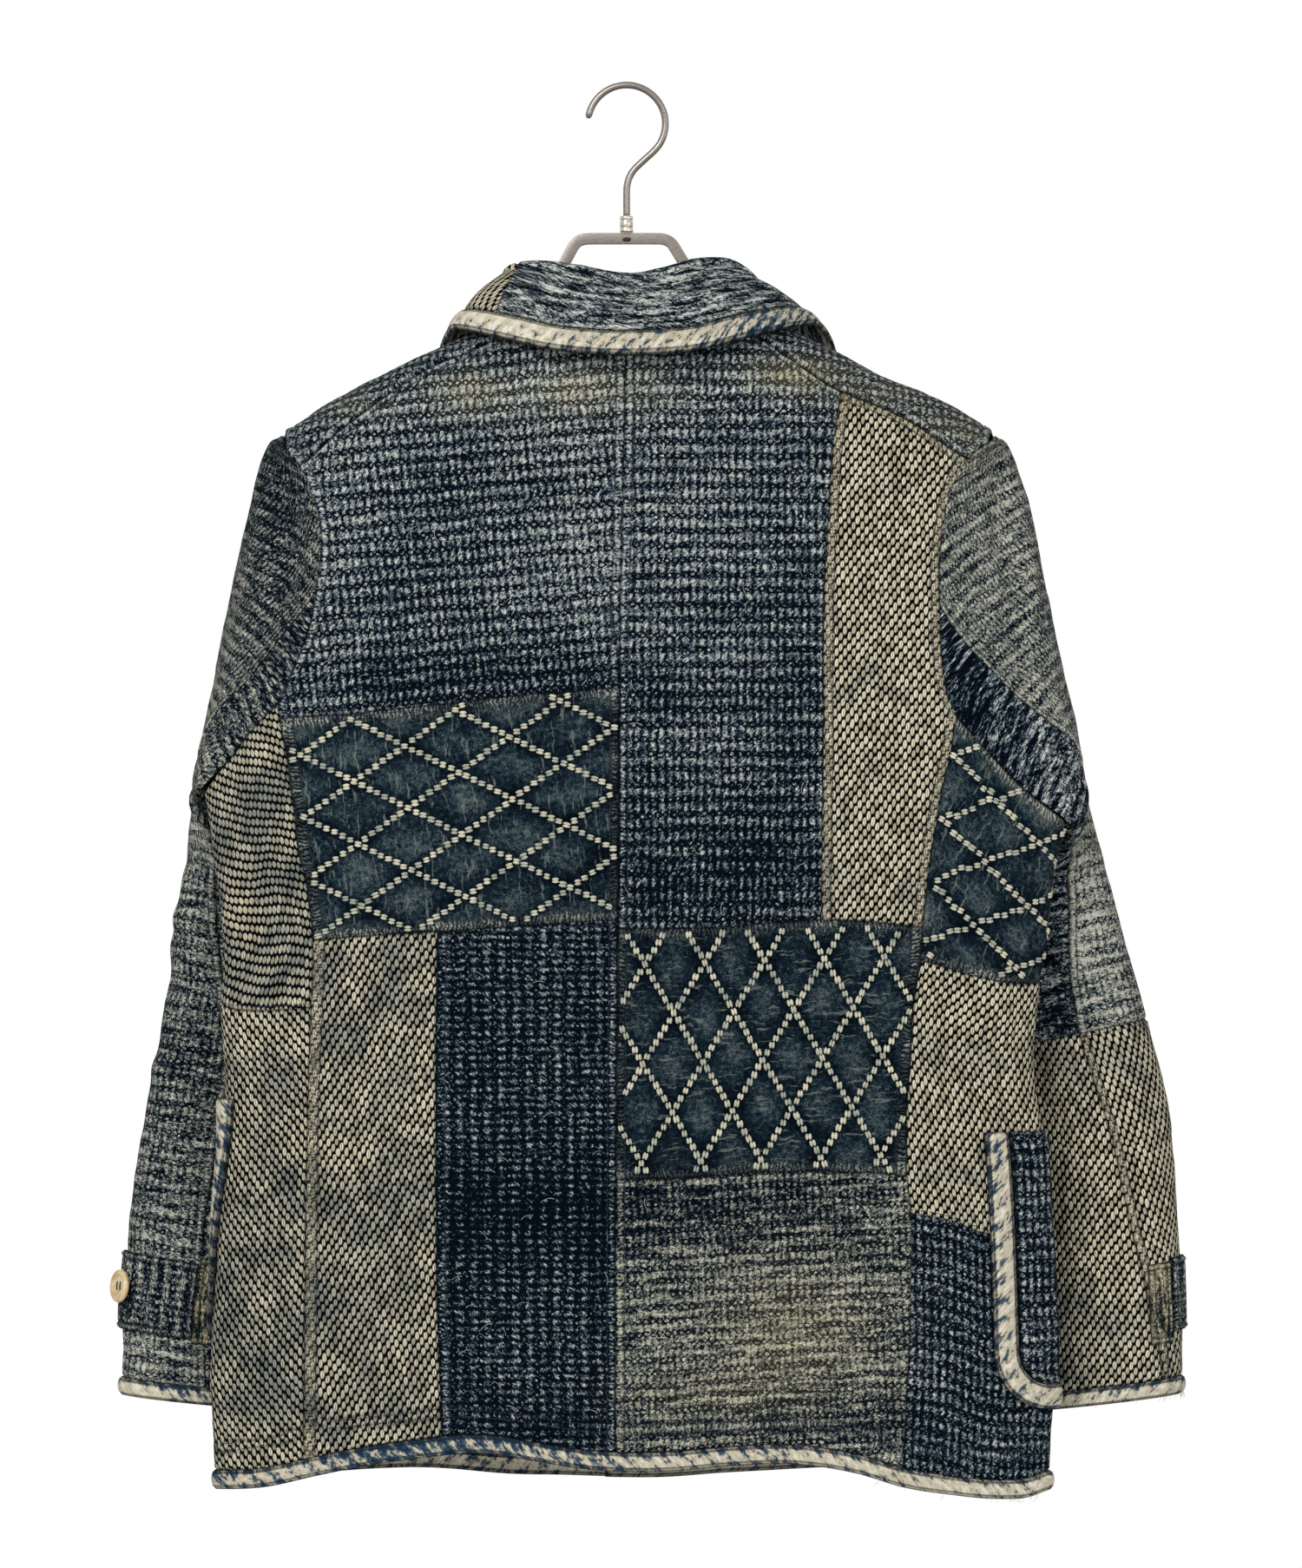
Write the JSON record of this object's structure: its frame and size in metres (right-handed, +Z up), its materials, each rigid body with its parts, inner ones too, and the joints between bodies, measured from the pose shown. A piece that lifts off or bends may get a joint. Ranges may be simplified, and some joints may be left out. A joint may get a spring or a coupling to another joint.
{
  "type": "patched boro jacket on a hanger",
  "caption": "Long-sleeved patched boro work jacket with a turned-down collar, sashiko diamond patches, bound hem, cuffs and pockets, hanging on a flat metal hanger.",
  "frame": {"origin": "inside top of the hanger's hook, where the rail holds it", "axes": "+Z up along the hanging jacket, -Y towards its back, +Y towards its front, -X the wearer's left, +X the wearer's right"},
  "size_m": [0.7166, 0.1669, 0.9347],
  "materials": {
    "boro_weave": "indigo and mid blue rice-stitched cotton with pale grey slubs",
    "dark_boro": "darker navy rice-stitched cotton",
    "pale_boro": "faded rice-stitched cotton, mostly pale grey-cream slubs on navy",
    "dark_weave": "near-black indigo weave with a fine grid of small white crosses",
    "indigo_denim": "plain indigo denim carrying cream sashiko diamonds",
    "cream_dobby": "cream dotted dobby weave over near-black indigo",
    "bias_binding": "cream bias tape with blue roping marks, puckered",
    "button_ivory": "ivory and amber polished button",
    "hanger_steel": "warm grey brushed steel",
    "hanger_rivet": "dark steel"
  },
  "bodies": {
    "root": {"back_left_upper": "boro_weave", "back_left_diamond": "indigo_denim", "back_left_cream": "cream_dobby", "back_left_indigo": "dark_weave", "back_right_upper": "boro_weave", "back_right_cream": "cream_dobby", "back_right_diamond": "indigo_denim", "back_right_lower": "pale_boro", "side_left_upper": "cream_dobby", "side_left_lower": "cream_dobby", "side_right_upper": "indigo_denim", "side_right_mid": "cream_dobby", "side_right_lower": "dark_boro", "front_left": "boro_weave", "front_right": "boro_weave", "sleeve_left_outer": "boro_weave", "sleeve_left_under": "boro_weave", "sleeve_right_outer": "boro_weave", "sleeve_right_forearm": "cream_dobby", "sleeve_right_under": "dark_boro", "sleeve_right_inner_forearm": "cream_dobby", "collar": "boro_weave", "collar_cream": "cream_dobby", "collar_binding": "bias_binding", "hem_binding": "bias_binding", "cuff_binding_left": "bias_binding", "cuff_binding_right": "bias_binding", "pocket_left": "boro_weave", "pocket_right": "dark_boro", "pocket_binding_left": "bias_binding", "pocket_binding_right": "bias_binding", "cuff_tab_left": "boro_weave", "cuff_tab_right": "boro_weave", "tab_strip_left": "boro_weave", "tab_strip_right": "boro_weave", "cuff_button_left": "button_ivory", "cuff_button_right": "button_ivory", "front_button_1": "button_ivory", "front_button_2": "button_ivory", "front_button_3": "button_ivory", "front_button_4": "button_ivory", "front_button_5": "button_ivory", "hanger_hook": "hanger_steel", "hanger_ferrule": "hanger_steel", "hanger_bar": "hanger_steel", "hanger_rivet": "hanger_rivet"}
  },
  "joints": []
}
